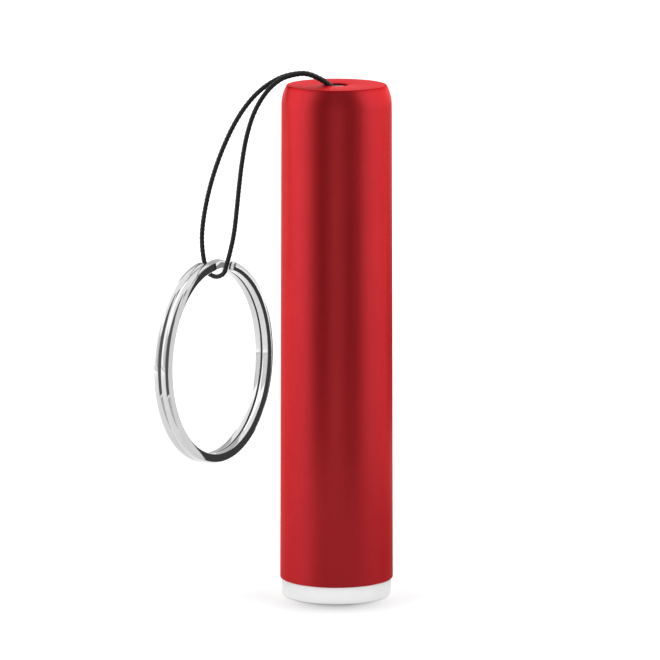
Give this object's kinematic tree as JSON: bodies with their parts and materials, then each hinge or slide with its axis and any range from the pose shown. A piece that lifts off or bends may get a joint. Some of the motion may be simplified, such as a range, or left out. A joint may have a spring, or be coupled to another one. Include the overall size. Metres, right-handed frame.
{
  "type": "keychain flashlight",
  "caption": "Slim red metal keychain light with a white push head at one end and a black cord loop carrying a split ring at the other.",
  "frame": {"origin": "middle of the push head's front rim, which is the face that the flashlight stands on", "axes": "+Z along the body's axis from the lamp end to the cord end; the cord and the split ring hang on the -X side"},
  "size_m": [0.0344, 0.0267, 0.077],
  "materials": {
    "red_sleeve": "satin",
    "white_head": "satin",
    "clear_lens": "gloss",
    "black_rubber": "matte",
    "bright_reflector": "polished",
    "lamp_phosphor": "gloss",
    "circuit_board": "satin",
    "black_plastic": "matte",
    "ivory_plastic": "satin",
    "spring_steel": "polished",
    "red_insulation": "satin",
    "black_insulation": "satin",
    "ferrite": "matte",
    "chip_epoxy": "matte",
    "capacitor_ceramic": "satin",
    "contact_brass": "polished",
    "cell_jacket": "gloss",
    "chromed_wire": "polished",
    "black_cord": "matte"
  },
  "bodies": {
    "root": {"shell": "red_sleeve", "retaining_ring": "black_plastic", "head_spring": "spring_steel", "lead_positive": "red_insulation", "lead_negative": "black_insulation", "switch_spring": "spring_steel", "switch_body": "black_plastic", "driver_board": "circuit_board", "boost_inductor": "ferrite", "boost_chip": "chip_epoxy", "capacitor": "capacitor_ceramic", "positive_contact": "contact_brass", "inner_carrier": "black_plastic", "battery": "cell_jacket", "negative_spring": "spring_steel", "negative_contact": "contact_brass", "ground_strip": "contact_brass", "end_plug": "black_plastic"},
    "head": {"head_bezel": "white_head", "lens": "clear_lens", "lens_gasket": "black_rubber", "reflector": "bright_reflector", "led": "lamp_phosphor", "led_board": "circuit_board"},
    "plunger": {"switch_plunger": "ivory_plastic"},
    "cord_loop": {"cord": "black_cord", "cord_knot": "black_cord", "cord_washer": "spring_steel"},
    "ring": {"split_ring": "chromed_wire"}
  },
  "joints": [
    {"name": "head_press", "type": "slide", "parent": "root", "child": "head", "axis": [0, 0, 1], "range_m": [0, 0.0012], "stiffness_N_per_m": 1200, "springref_m": -0.0006, "deforming": ["head_spring", "lead_positive", "lead_negative"]},
    {"name": "plunger_press", "type": "slide", "parent": "root", "child": "plunger", "axis": [0, 0, 1], "range_m": [0, 0.0012], "deforming": ["switch_spring"]},
    {"name": "cord_swivel", "type": "hinge", "parent": "root", "child": "cord_loop", "pos_m": [0, 0, 0.075], "axis": [0, 0, 1], "continuous": true},
    {"name": "ring_turn", "type": "hinge", "parent": "cord_loop", "child": "ring", "pos_m": [-0.01771, -0.001, 0.0347], "axis": [0.8657, -0.4998, 0.0286], "continuous": true}
  ],
  "couplings": [
    {"joint": "plunger_press", "follows": "head_press", "ratio": 1}
  ]
}
